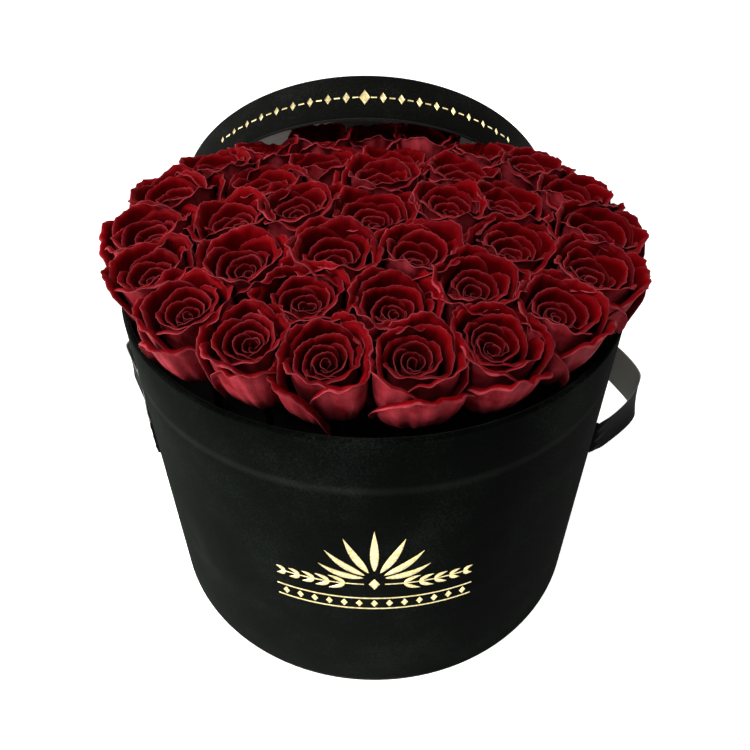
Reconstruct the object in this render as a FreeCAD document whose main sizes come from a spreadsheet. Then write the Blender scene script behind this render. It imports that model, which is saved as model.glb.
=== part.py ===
import FreeCAD, Part
import Sketcher
import math
import os
from FreeCAD import Placement, Rotation, Vector

# A round velvet flower box: board tube, foam, a dome of roses, ribbon loops and a lift-off lid.
# Frame: millimetres, Z up, the box stands on Z = 0 with its axis on Z, and the lid leans behind it at +Y.

SIZES = {
    "box_radius": 140.0,
    "box_height": 212.0,
    "board": 2.2,
    "velvet": 0.5,
    "lid_lining": 0.4,
    "base_thick": 3.0,
    "cover_thick": 0.5,
    "foam_fit": 0.4,
    "foam_drop": 46.0,
    "lid_fit": 0.6,
    "lid_board": 1.7,
    "lid_depth": 36.8,
    "lid_lean_angle": 22.5,
    "lid_shift": 6.0,
    "lid_rest_gap": 0.3,
    "ribbon_width": 25.0,
    "ribbon_thick": 0.8,
    "ribbon_stand_left": 23.0,
    "ribbon_stand_right": 25.0,
    "ribbon_back_left": 18.0,
    "ribbon_drop": 84.0,
    "ribbon_neck": 1.6,
    "ribbon_flare": 11.0,
    "ribbon_long_flare": 30.0,
    "ribbon_free": 0.9,
    "slit_angle": 24.0,
    "slit_width": 3.0,
    "slit_height": 26.0,
    "slit_play": 0.4,
    "knot_radius": 7.0,
    "knot_thick": 8.0,
    "rose_depth": 40.0,
    "rose_limit": 26.0,
    "rose_gap": 0.9,
    "stem_radius": 2.5,
    "stem_bite": 26.0,
    "stem_play": 0.3,
    "petal_gap": 1.5,
    "lid_cover": 8.0,
    "crown_shift": 9.0,
    "centre_rise": 42.0,
    "inner_share": 0.31,
    "inner_rise": 41.0,
    "inner_lean_angle": 4.0,
    "middle_count": 11,
    "middle_first_angle": 277.0,
    "middle_share": 0.545,
    "middle_rise": 37.0,
    "middle_lean_angle": 9.0,
    "outer_count": 19,
    "outer_first_angle": 279.0,
    "outer_share": 0.85,
    "outer_share_swing": 0.02,
    "outer_share_dip": 0.095,
    "front_rise": 31.0,
    "lid_headroom": 15.9,
    "outer_lean_angle": 10.0,
    "outer_lean_swing_angle": 3.0,
    "rim_overhang": 3.0,
    "rim_overhang_swing": 8.0,
}

doc = FreeCAD.newDocument("flower_box")
sheet = doc.addObject("Spreadsheet::Sheet", "sizes")
for row, (alias, value) in enumerate(SIZES.items(), start=1):
    sheet.set("A%d" % row, alias)
    sheet.set("B%d" % row, str(value))
    sheet.setAlias("B%d" % row, alias)
doc.recompute()


def size(alias):
    """The value of one driving dimension, read back from the sheet."""
    return float(getattr(sheet, alias))


def bound(text):
    """An expression on the sheet: each alias in text is written with the sheet's name before it."""
    words = []
    for word in text.split():
        words.append("sizes." + word if word in SIZES else word)
    return " ".join(words)


def worked_out(text):
    """The number that such an expression gives."""
    total = 0.0
    sign = 1.0
    for word in text.split():
        if word in ("+", "-"):
            sign = 1.0 if word == "+" else -1.0
        else:
            total += sign * (size(word) if word in SIZES else float(word))
    return total


def turned_body(name, corners):
    """A body turned about Z from a closed outline, whose corners are (radius, height) expressions."""
    body = doc.addObject("PartDesign::Body", name)
    sketch = body.newObject("Sketcher::SketchObject", name + "_outline")
    planes = [plane for plane in body.Origin.OriginFeatures if plane.Role == "XZ_Plane"]
    sketch.AttachmentSupport = [(planes[0], "")]
    sketch.MapMode = "FlatFace"
    points = [Vector(worked_out(across), worked_out(height), 0) for across, height in corners]
    for start, end in zip(points, points[1:] + points[:1]):
        sketch.addGeometry(Part.LineSegment(start, end))
    for index, (across, height) in enumerate(corners):
        following = (index + 1) % len(corners)
        sketch.addConstraint(Sketcher.Constraint("Coincident", index, 2, following, 1))
        for kind, text in (("DistanceX", across), ("DistanceY", height)):
            number = sketch.addConstraint(Sketcher.Constraint(kind, -1, 1, index, 1, worked_out(text)))
            sketch.setExpression("Constraints[%d]" % number, bound(text))
    turn = body.newObject("PartDesign::Revolution", name + "_turn")
    turn.Profile = sketch
    turn.ReferenceAxis = (sketch, ["V_Axis"])
    turn.Angle = 360
    sketch.Visibility = False
    return body


def disc(name, radius, thick, height, place=None):
    """A round board or sheet about Z, with its lower face at the given height above the given place."""
    piece = doc.addObject("Part::Cylinder", name)
    piece.setExpression("Radius", bound(radius))
    piece.setExpression("Height", bound(thick))
    if place is None:
        piece.setExpression("Placement.Base.z", bound(height))
    else:
        piece.Placement = place.multiply(Placement(Vector(0, 0, worked_out(height)), Rotation()))
    return piece


def cut(name, base, tool):
    """The base with the tool taken out of it."""
    piece = doc.addObject("Part::Cut", name)
    piece.Base = base
    piece.Tool = tool
    return piece


def stacked_solid(levels, tip=None):
    """A solid skinned with flat triangles over a stack of rings of equal count, closed by a cap at the
    first ring and by a tip point or a cap at the last."""
    faces = [Part.Face(Part.makePolygon(levels[0] + levels[0][:1]))]
    for lower, upper in zip(levels, levels[1:]):
        for index in range(len(lower)):
            following = (index + 1) % len(lower)
            for corners in ((lower[index], lower[following], upper[following]),
                            (lower[index], upper[following], upper[index])):
                faces.append(Part.Face(Part.makePolygon([*corners, corners[0]])))
    last = levels[-1]
    if tip is None:
        faces.append(Part.Face(Part.makePolygon(last + last[:1])))
    else:
        for index in range(len(last)):
            corners = (last[index], last[(index + 1) % len(last)], tip)
            faces.append(Part.Face(Part.makePolygon([*corners, corners[0]])))
    solid = Part.Solid(Part.Shell(faces))
    if solid.Volume < 0:
        solid.reverse()
    return solid


# Box: tube, base, velvet
WALL_OUT = "box_radius - velvet"
WALL_IN = WALL_OUT + " - board"
BASE_TOP = "cover_thick + base_thick"
WALL_TOP = "box_height - velvet"


def slit_place():
    """Distance of the ribbon's slits from the mid-plane, and their height."""
    across = size("box_radius") * math.sin(math.radians(size("slit_angle")))
    return across, size("box_height") - size("ribbon_drop")


def slit_bars(name, width, height, inside, outside):
    """Four square bars along X, two a side, that run from inside to outside at the ribbon's slits."""
    across, middle = slit_place()
    bars = []
    for side in (-1, 1):
        start = inside if side > 0 else -outside
        for end in (-1, 1):
            corner = Vector(start, end * across - width / 2, middle - height / 2)
            bars.append(Part.makeBox(outside - inside, width, height, corner))
    piece = doc.addObject("Part::Feature", name)
    piece.Shape = Part.makeCompound(bars)
    return piece


def box_pieces():
    """The tube with its slits, the base in its foot, the velvet over its outside and rim, and the cover."""
    wall = turned_body("wall_blank", [
        (WALL_IN, "cover_thick"),
        (WALL_OUT, "cover_thick"),
        (WALL_OUT, WALL_TOP),
        (WALL_IN, WALL_TOP),
    ])
    wrap = turned_body("wrap_blank", [
        (WALL_OUT, "cover_thick"),
        ("box_radius", "cover_thick"),
        ("box_radius", "box_height"),
        (WALL_IN, "box_height"),
        (WALL_IN, WALL_TOP),
        (WALL_OUT, WALL_TOP),
    ])
    slits = slit_bars("slits", size("slit_width"), size("slit_height"), 0, 2 * size("box_radius"))
    base = disc("box_base", WALL_IN, "base_thick", "cover_thick")
    cover = disc("base_cover", "box_radius", "cover_thick", "0")
    return [cut("box_wall", wall, slits), cut("box_wrap", wrap, slits), base, cover]


# Ribbon loops and their knots. A knot is widest between two shares of its thickness, back from the wall
KNOT_CORNERS = 8
KNOT_BACK = 0.7
KNOT_FRONT = 0.2


def stub_end():
    """Distance from the mid-plane at which a knot's stub ends, just proud of the wall."""
    across, _ = slit_place()
    nearest = across - size("slit_width") / 2
    return math.sqrt(size("box_radius") ** 2 - nearest ** 2) + size("velvet")


def knot_seat():
    """Distance from the mid-plane at which a knot lies against the inside of the wall."""
    across, _ = slit_place()
    inside = size("box_radius") - size("velvet") - size("board")
    return math.sqrt(inside ** 2 - (across + size("knot_radius")) ** 2) - size("slit_play")


def strand(name, side, start, end):
    """A straight run of ribbon between two points of its middle line, given as distances from the
    mid-plane and along Y."""
    width = size("ribbon_width")
    thick = size("ribbon_thick")
    run = Vector(side * (end[0] - start[0]), end[1] - start[1], 0)
    piece = doc.addObject("Part::Box", name)
    piece.Length = run.Length
    piece.setExpression("Width", bound("ribbon_thick"))
    piece.setExpression("Height", bound("ribbon_width"))
    turn = Rotation(Vector(1, 0, 0), run)
    corner = Vector(side * start[0], start[1], slit_place()[1] - width / 2)
    piece.Placement = Placement(corner + turn.multVec(Vector(0, -thick / 2, 0)), turn)
    return piece


def ribbon_post(name, radius, across, along):
    """An upright cylinder as high as the ribbon is wide, about a point of its plan."""
    post = doc.addObject("Part::Cylinder", name)
    post.Radius = radius
    post.setExpression("Height", bound("ribbon_width"))
    post.Placement.Base = Vector(across, along, slit_place()[1] - size("ribbon_width") / 2)
    return post


def bowed_band(name, side, root, reach, tip):
    """A band bent to one arc in plan, from a slit out to the tip and back to the other slit."""
    rise = tip - root
    radius = (reach ** 2 + rise ** 2) / (2 * rise)
    centre = side * (tip - radius)
    outer = ribbon_post(name + "_outer", radius + size("ribbon_thick") / 2, centre, 0)
    inner = ribbon_post(name + "_inner", radius - size("ribbon_thick") / 2, centre, 0)
    return cut(name + "_band", outer, inner)


def folded_band(name, side, root, reach, tip):
    """A band of two straight runs that meet in a fold behind the middle."""
    back = size("ribbon_back_left")
    band = doc.addObject("Part::MultiFuse", name + "_band")
    band.Shapes = [
        strand(name + "_front_run", side, (root, -reach), (tip, back)),
        strand(name + "_rear_run", side, (root, reach), (tip, back)),
        ribbon_post(name + "_fold", size("ribbon_thick") / 2, side * tip, back),
    ]
    return band


def ribbon_handle(name, side, stand, shape, front_flare):
    """A satin loop that stands off the wall between the two knots' stubs, gathered to a neck at each end."""
    reach, height = slit_place()
    root = stub_end() + size("ribbon_free")
    tip = size("box_radius") + stand
    neck = size("ribbon_neck") / 2
    half = size("ribbon_width") / 2
    front = front_flare - reach
    rear = reach - size("ribbon_flare")
    outline = []
    for across, up in ((reach, -neck), (reach, neck), (rear, half), (front, half),
                       (-reach, neck), (-reach, -neck), (front, -half), (rear, -half)):
        outline.append(Vector(side * root, across, height + up))
    window = doc.addObject("Part::Feature", name + "_outline")
    window.Shape = Part.Face(Part.makePolygon(outline + outline[:1])).extrude(Vector(side * tip, 0, 0))
    loop = doc.addObject("Part::Common", name)
    loop.Base = shape(name, side, root, reach, tip)
    loop.Tool = window
    return loop


def ribbon_knots(name, side):
    """The two knotted ends of one ribbon: a stub through each slit and a flat knot inside the wall."""
    across, height = slit_place()
    face = knot_seat()
    thick = size("knot_thick")
    knot = size("knot_radius")
    half_width = size("slit_width") / 2 - size("slit_play")
    half_height = size("slit_height") / 2 - size("slit_play")
    sections = (
        (face - thick, knot / 2, knot / 2),
        (face - thick * KNOT_BACK, knot, knot),
        (face - thick * KNOT_FRONT, knot, knot),
        (face, half_width, half_height),
        (stub_end(), half_width, half_height),
    )
    solids = []
    for end in (-1, 1):
        levels = []
        for along, wide, tall in sections:
            ring = []
            for corner in range(KNOT_CORNERS):
                turn = math.radians(360.0 * corner / KNOT_CORNERS)
                ring.append(Vector(side * along, end * across + wide * math.cos(turn),
                                   height + tall * math.sin(turn)))
            levels.append(ring)
        solids.append(stacked_solid(levels))
    piece = doc.addObject("Part::Feature", name)
    piece.Shape = Part.makeCompound(solids)
    return piece


# Lid: made on its own axis with its open edge at Z = 0, then leant on the rear edge of the box
LID_IN = "box_radius + lid_fit"
LID_OUT = LID_IN + " + lid_board"
LID_TOP = "lid_depth - velvet"
LID_UNDER = LID_TOP + " - lid_board"


def lid_edge_height():
    """Height of the lid's upper edge above the floor, as it stands on its lower edge."""
    return 2 * worked_out(LID_OUT + " + velvet") * math.cos(math.radians(size("lid_lean_angle")))


def lid_placement():
    """Stands the lid on its open edge behind the box, with its lining against the box's rear top edge."""
    lean = math.radians(size("lid_lean_angle"))
    inner_face = worked_out(LID_UNDER + " - lid_lining")
    edge_height = lid_edge_height() / 2
    face_height = edge_height + inner_face * math.sin(lean)
    face_back = (size("box_radius") + (size("box_height") - face_height) * math.tan(lean)
                 + size("lid_rest_gap") / math.cos(lean))
    edge_back = face_back - inner_face * math.cos(lean)
    turn = Rotation(Vector(1, 0, 0), size("lid_lean_angle") - 90)
    return Placement(Vector(-size("lid_shift"), edge_back, edge_height), turn)


# Roses: where each head sits, how it leans and how far it opens
INNER_TURNS = (12.0, 84.0, 168.0, 244.0, 300.0)


class Rose:
    """One rose: its name, the middle of its mouth, and the way its head leans."""

    def __init__(self, name, share, azimuth, rise, lean, shift=0.0):
        turn = math.radians(azimuth)
        tip = math.radians(lean)
        self.name = name
        self.out = Vector(math.cos(turn), math.sin(turn), 0)
        self.along = Vector(-math.sin(turn), math.cos(turn), 0)
        self.mouth = self.out * (share * size("box_radius")) + Vector(0, -shift, size("box_height") + rise)
        self.axis = self.out * math.sin(tip) + Vector(0, 0, math.cos(tip))
        self.across = self.out * math.cos(tip) - Vector(0, 0, math.sin(tip))
        self.calyx = self.mouth - self.axis * size("rose_depth")


def rose_places():
    """A head in the middle and two rings round it, a little forward of the box's axis, and an outer ring
    that leans most in front, stands widest at the sides, and draws in and rises to meet the lid."""
    shift = size("crown_shift")
    roses = [Rose("rose_centre", 0, 0, size("centre_rise"), 0, shift)]
    for index, azimuth in enumerate(INNER_TURNS):
        roses.append(Rose("rose_inner_%d" % (index + 1), size("inner_share"), azimuth, size("inner_rise"),
                          size("inner_lean_angle"), shift))
    count = int(size("middle_count"))
    for index in range(count):
        azimuth = size("middle_first_angle") + 360.0 * index / count
        roses.append(Rose("rose_middle_%d" % (index + 1), size("middle_share"), azimuth,
                          size("middle_rise"), size("middle_lean_angle"), shift))
    front = size("front_rise")
    rear = lid_edge_height() - worked_out("box_height + lid_headroom")
    count = int(size("outer_count"))
    for index in range(count):
        azimuth = size("outer_first_angle") + 360.0 * index / count
        turn = math.radians(azimuth)
        back = math.sin(turn)
        share = (size("outer_share") + size("outer_share_swing") * math.cos(2 * turn)
                 - size("outer_share_dip") * max(0.0, back))
        rise = (rear + front) / 2 + (rear - front) / 2 * back
        lean = size("outer_lean_angle") - size("outer_lean_swing_angle") * back
        roses.append(Rose("rose_outer_%d" % (index + 1), share, azimuth, rise, lean))
    return roses


# Rings of a rose head from the calyx to the bud: radius at a petal's middle and at its joint, as shares of
# the mouth's radius; height at both, as shares of the head's depth above the mouth; half turns of a petal
PETALS = 5
HEAD_RINGS = (
    (0.30, 0.30, -1.00, -1.00, 0),
    (0.88, 0.84, -0.48, -0.50, 0),
    (1.00, 0.94, 0.00, -0.10, 0),
    (0.82, 0.82, -0.26, -0.26, 1),
    (0.74, 0.64, -0.05, -0.15, 1),
    (0.50, 0.50, -0.38, -0.38, 0),
    (0.42, 0.32, -0.20, -0.27, 0),
)
BUD_DIP = -0.36
STEM_NECK = 5.0
GOLDEN_TURN = 137.5


def rim_reach(rose):
    """How far from the box's axis a head may spread: most at the sides, where it overhangs the rim."""
    side = 2 * rose.out.x ** 2 - 1
    return worked_out("box_radius + rim_overhang") + size("rim_overhang_swing") * side


def lid_room(rose, here, toward):
    """How far a petal reaches before it meets the leaning lid: a head under the lid keeps inside its band
    and short of its lining, and one in front of the lid keeps short of its open edge."""
    place = lid_placement()
    axis = place.Rotation.multVec(Vector(0, 0, 1))
    past = (here - place.Base).dot(axis)
    rate = toward.dot(axis)
    head = rose.mouth - place.Base
    head = head - axis * head.dot(axis)
    band = worked_out(LID_IN + " - petal_gap")
    limits = [size("rose_limit")]
    if head.Length > band - size("lid_cover"):
        if rate > 0:
            limits.append((-size("petal_gap") - past) / rate)
        return min(limits)
    level = here - place.Base - axis * past
    slope = toward - axis * rate
    half = level.dot(slope)
    square = slope.dot(slope)
    limits.append((math.sqrt(half ** 2 + square * (band ** 2 - level.dot(level))) - half) / square)
    if rate > 0:
        limits.append((worked_out(LID_UNDER + " - lid_lining - petal_gap") - past) / rate)
    return min(limits)


def pressed(rose, others, height, toward):
    """How far a petal reaches at one height and direction before it meets a neighbour, the lid or the
    reach over the rim."""
    here = rose.mouth + rose.axis * height
    limits = [lid_room(rose, here, toward)]
    outward = toward.dot(rose.out)
    if outward > 0:
        limits.append((rim_reach(rose) - here.dot(rose.out)) / outward)
    for other in others:
        away = other.mouth + other.axis * height - here
        facing = toward.dot(away) / away.Length
        if facing > 0:
            limits.append((away.Length - size("rose_gap")) / 2 / facing)
    return min(limits)


def rose_solid(rose, others, spin, stem_end):
    """One rose: nested rings of petals whose lips rise at each petal's middle, on a straight cut stem."""
    corners = 2 * PETALS
    turns = [math.radians(spin + 360.0 * corner / corners) for corner in range(corners)]
    stem = size("stem_radius")
    levels = []
    for height in (stem_end, rose.calyx.z - STEM_NECK):
        middle = Vector(rose.calyx.x, rose.calyx.y, height)
        levels.append([middle + rose.out * (stem * math.cos(turn)) + rose.along * (stem * math.sin(turn))
                       for turn in turns])
    for wide, narrow, high, low, half in HEAD_RINGS:
        ring = []
        for corner, turn in enumerate(turns):
            at_middle = (corner + half) % 2 == 0
            height = size("rose_depth") * (high if at_middle else low)
            toward = rose.across * math.cos(turn) + rose.along * math.sin(turn)
            radius = pressed(rose, others, height, toward) * (wide if at_middle else narrow)
            ring.append(rose.mouth + rose.axis * height + toward * radius)
        levels.append(ring)
    return stacked_solid(levels, rose.mouth + rose.axis * (BUD_DIP * size("rose_depth")))


def rose_pieces(roses, foam_top):
    """Every rose as its own piece, opened until it presses on its neighbours."""
    pieces = []
    for index, rose in enumerate(roses):
        others = [other for other in roses if other is not rose]
        piece = doc.addObject("Part::Feature", rose.name)
        piece.Shape = rose_solid(rose, others, GOLDEN_TURN * index, foam_top - size("stem_bite"))
        pieces.append(piece)
    return pieces


def foam_piece(roses, foam_top):
    """The foam block with a hole for each stem and a pocket for each ribbon knot."""
    blank = disc("foam_blank", WALL_IN + " - foam_fit",
                 "box_height - foam_drop - cover_thick - base_thick", BASE_TOP)
    half = size("stem_radius") + size("stem_play")
    tools = []
    for rose in roses:
        corner = Vector(rose.calyx.x - half, rose.calyx.y - half,
                        foam_top - size("stem_bite") - size("stem_play"))
        tools.append(Part.makeBox(2 * half, 2 * half, 2 * size("stem_bite"), corner))
    stems = doc.addObject("Part::Feature", "stem_holes")
    stems.Shape = Part.makeCompound(tools)
    wide = 2 * (size("knot_radius") + size("slit_play"))
    deep = knot_seat() - size("knot_thick") - size("slit_play")
    pockets = slit_bars("knot_pockets", wide, size("slit_height"), deep, 2 * size("box_radius"))
    return cut("floral_foam", cut("foam_with_pockets", blank, pockets), stems)


# Lid pieces
def lid_pieces():
    """The lid's top board, the band round it, the velvet over both and the pale lining under the top."""
    place = lid_placement()
    top = disc("lid_top", LID_IN, "lid_board", LID_UNDER, place)
    lining = disc("lid_lining", LID_IN, "lid_lining", LID_UNDER + " - lid_lining", place)
    rim = turned_body("lid_rim", [
        (LID_IN, "0"),
        (LID_OUT, "0"),
        (LID_OUT, LID_TOP),
        (LID_IN, LID_TOP),
    ])
    rim.Placement = place
    cover = disc("lid_wrap_blank", LID_OUT + " + velvet", "lid_depth", "0")
    hollow = disc("lid_wrap_hollow", LID_OUT, LID_TOP, "0")
    wrap = cut("lid_wrap", cover, hollow)
    wrap.Placement = place
    return [top, lining, rim, wrap]


def write_parts(pieces):
    """Recomputes, checks every object of the document and writes one STEP file for each piece."""
    doc.recompute()
    for thing in doc.Objects:
        state = " ".join(thing.State)
        if "Invalid" in state or "Error" in state:
            raise RuntimeError("%s did not build: %s" % (thing.Label, state))
    os.makedirs("parts", exist_ok=True)
    for piece in pieces:
        if piece.Shape.isNull() or not piece.Shape.isValid():
            raise RuntimeError("%s has no sound shape" % piece.Label)
        piece.Shape.exportStep("parts/%s.step" % piece.Label)
        print(piece.Label, round(piece.Shape.Volume / 1000.0, 2), "cm3")


ROSES = rose_places()
FOAM_TOP = size("box_height") - size("foam_drop")
write_parts(
    box_pieces()
    + [foam_piece(ROSES, FOAM_TOP)]
    + [ribbon_handle("ribbon_handle_left", -1, size("ribbon_stand_left"), folded_band,
                     size("ribbon_long_flare"))]
    + [ribbon_handle("ribbon_handle_right", 1, size("ribbon_stand_right"), bowed_band,
                     size("ribbon_flare"))]
    + [ribbon_knots("ribbon_knots_left", -1), ribbon_knots("ribbon_knots_right", 1)]
    + rose_pieces(ROSES, FOAM_TOP)
    + lid_pieces()
)
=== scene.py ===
import bpy
import numpy as np
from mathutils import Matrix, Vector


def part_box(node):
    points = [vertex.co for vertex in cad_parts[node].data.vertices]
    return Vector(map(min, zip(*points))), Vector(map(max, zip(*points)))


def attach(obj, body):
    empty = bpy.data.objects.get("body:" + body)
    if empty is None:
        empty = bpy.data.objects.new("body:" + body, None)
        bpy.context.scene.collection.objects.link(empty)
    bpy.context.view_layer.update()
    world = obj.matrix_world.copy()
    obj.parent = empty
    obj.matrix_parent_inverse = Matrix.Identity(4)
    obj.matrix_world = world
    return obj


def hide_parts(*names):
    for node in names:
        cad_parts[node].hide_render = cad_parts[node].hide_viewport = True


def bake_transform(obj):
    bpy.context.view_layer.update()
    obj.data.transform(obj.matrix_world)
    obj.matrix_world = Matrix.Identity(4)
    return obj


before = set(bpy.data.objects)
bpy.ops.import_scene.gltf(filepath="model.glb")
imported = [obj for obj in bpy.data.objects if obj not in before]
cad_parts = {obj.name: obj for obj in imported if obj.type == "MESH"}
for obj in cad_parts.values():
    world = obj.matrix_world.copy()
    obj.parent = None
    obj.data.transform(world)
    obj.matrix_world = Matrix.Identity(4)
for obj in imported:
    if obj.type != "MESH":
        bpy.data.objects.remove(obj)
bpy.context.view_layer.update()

MM = 0.001

# Driving sizes, read from the frame where it holds them
BOX_RADIUS = float(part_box("box_wrap")[1][0])
BOX_HEIGHT = float(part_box("box_wrap")[1][2])
FOAM_TOP = float(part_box("floral_foam")[1][2])
SKIN = 0.5 * MM
BOARD = 2.2 * MM

# Lid: radius, board, depth, paper inside, gap to the box's rim, lean, and how far it stands to the right
LID_RADIUS = 142.8 * MM
LID_BOARD = 1.7 * MM
LID_DEPTH = 36.8 * MM
LID_PAPER = 0.4 * MM
LID_REST_GAP = 0.3 * MM
LID_LEAN = np.radians(22.5)
LID_SHIFT = -6.0 * MM


def linear(colour):
    """sRGB hex to linear RGBA: each channel c is c / 12.92 up to 0.04045, else ((c + 0.055) / 1.055)^2.4."""
    part = np.array([int(colour[i:i + 2], 16) for i in (1, 3, 5)]) / 255
    part = np.where(part <= 0.04045, part / 12.92, ((part + 0.055) / 1.055) ** 2.4)
    return (*part.tolist(), 1.0)


def add(tree, kind, links=None, values=None, stops=(), **settings):
    """Adds one node: settings are its properties, values its unlinked sockets, links its linked ones, and
    stops the (position, hex) pairs of a colour ramp."""
    made = tree.nodes.new(kind)
    for key, value in settings.items():
        setattr(made, key, value)
    for key, value in (values or {}).items():
        made.inputs[key].default_value = value
    for key, socket in (links or {}).items():
        tree.links.new(socket, made.inputs[key])
    for index, (position, colour) in enumerate(stops):
        if index == len(made.color_ramp.elements):
            made.color_ramp.elements.new(1.0)
        made.color_ramp.elements[index].position = position
        made.color_ramp.elements[index].color = linear(colour)
    return made


def new_material(name):
    """An empty material with its node tree, its shader and its output."""
    made = bpy.data.materials.new(name)
    made.use_nodes = True
    tree = made.node_tree
    tree.nodes.clear()
    shader = add(tree, "ShaderNodeBsdfPrincipled")
    add(tree, "ShaderNodeOutputMaterial", {"Surface": shader.outputs["BSDF"]})
    return made, tree, shader


def put(tree, shader, values=None, **links):
    """Sets the shader's constant sockets and links the rest."""
    for key, value in (values or {}).items():
        shader.inputs[key].default_value = value
    for key, socket in links.items():
        tree.links.new(socket, shader.inputs[key.replace("_", " ")])


# Materials
def velvet(name, tones, rub_height=None):
    """Flocked black velvet: short pile that scatters light at its edges, brushed into soft darker and
    paler clouds about 45 mm long, and worn to a faint line where the lid's edge has sat. The pile, about
    0.3 mm across, is drawn at 1.1 mm so that it shows."""
    made, tree, shader = new_material(name)
    place = add(tree, "ShaderNodeTexCoord").outputs["Object"]
    clouds = add(tree, "ShaderNodeTexNoise", {"Vector": place},
                 {"Scale": 1 / (45 * MM), "Detail": 3.0, "Roughness": 0.55}).outputs["Fac"]
    pile = add(tree, "ShaderNodeTexNoise", {"Vector": place},
               {"Scale": 1 / (1.1 * MM), "Detail": 2.0, "Roughness": 0.7}).outputs["Fac"]
    both = add(tree, "ShaderNodeMath", {0: clouds, 1: pile}, operation="ADD").outputs[0]
    mean = add(tree, "ShaderNodeMath", {0: both}, {1: 0.5}, operation="MULTIPLY").outputs[0]
    nap = add(tree, "ShaderNodeValToRGB", {"Fac": mean},
              stops=zip((0.36, 0.52, 0.66), tones)).outputs["Color"]
    if rub_height:
        high = add(tree, "ShaderNodeSeparateXYZ", {0: place}).outputs["Z"]
        away = add(tree, "ShaderNodeMath", {0: high}, {1: -rub_height}, operation="ADD").outputs[0]
        away = add(tree, "ShaderNodeMath", {0: away}, operation="ABSOLUTE").outputs[0]
        line = add(tree, "ShaderNodeMapRange", {0: away}, {1: 0.3 * MM, 2: 4.0 * MM, 3: 0.26, 4: 0.0},
                   interpolation_type="SMOOTHSTEP").outputs[0]
        wear_and_highlight_patches = add(tree, "ShaderNodeMath", {0: line, 1: clouds}, operation="MULTIPLY").outputs[0]
        nap = add(tree, "ShaderNodeMix", {0: wear_and_highlight_patches, 6: nap}, {7: linear("#3c3e3b")},
                  data_type="RGBA").outputs[2]
    bump = add(tree, "ShaderNodeBump", {"Height": pile}, {"Strength": 0.45, "Distance": 0.35 * MM})
    put(tree, shader, {"Roughness": 0.92, "Specular IOR Level": 0.0, "Sheen Weight": 0.06,
                       "Sheen Roughness": 0.42, "Sheen Tint": linear("#c9cdc8")},
        Base_Color=nap, Normal=bump.outputs["Normal"])
    return made


def satin(name):
    """Woven black polyester satin, single-faced, with next to no glitter in this light: soft streaks along
    the ribbon, where its long floats catch the light, are painted sheen in its colour, and the inside is dull
    and painted much paler, as painted reflected light. The fine ribs across it, 0.35 mm apart, are drawn at
    1.8 mm so that they show; the wave texture runs 20 radians to a unit."""
    made, tree, shader = new_material(name)
    place = add(tree, "ShaderNodeUVMap", uv_map="cut").outputs["UV"]
    ribs = add(tree, "ShaderNodeTexWave", {"Vector": place},
               {"Scale": 2 * np.pi / 20 / (1.8 * MM), "Distortion": 0.6, "Detail": 1.0},
               wave_type="BANDS", bands_direction="Y").outputs["Fac"]
    drawn_out = add(tree, "ShaderNodeMapping", {"Vector": place}, {"Scale": (1.0, 0.06, 1.0)}).outputs[0]
    painted_sheen_streaks = add(tree, "ShaderNodeTexNoise", {"Vector": drawn_out},
                  {"Scale": 1 / (1.6 * MM), "Detail": 2.0}).outputs["Fac"]
    # Painted sheen: the streaks in the ribbon's colour stand in for the satin's sheen.
    tone = add(tree, "ShaderNodeValToRGB", {"Fac": painted_sheen_streaks},
               stops=((0.3, "#080808"), (0.7, "#141413"))).outputs["Color"]
    inner = add(tree, "ShaderNodeAttribute", attribute_name="inner").outputs["Fac"]
    # Painted reflected light: the inner face is painted much paler than the black outside.
    tone = add(tree, "ShaderNodeMix", {0: inner, 6: tone}, {7: linear("#c4c3b8")},
               data_type="RGBA").outputs[2]
    gloss = add(tree, "ShaderNodeMapRange", {0: painted_sheen_streaks}, {3: 0.52, 4: 0.64}).outputs[0]
    bump = add(tree, "ShaderNodeBump", {"Height": ribs}, {"Strength": 0.18, "Distance": 0.2 * MM})
    put(tree, shader, {"Specular IOR Level": 0.004, "Anisotropic": 0.45, "Sheen Weight": 0.03,
                       "Sheen Roughness": 0.3},
        Base_Color=tone, Roughness=gloss, Normal=bump.outputs["Normal"])
    return made


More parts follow.
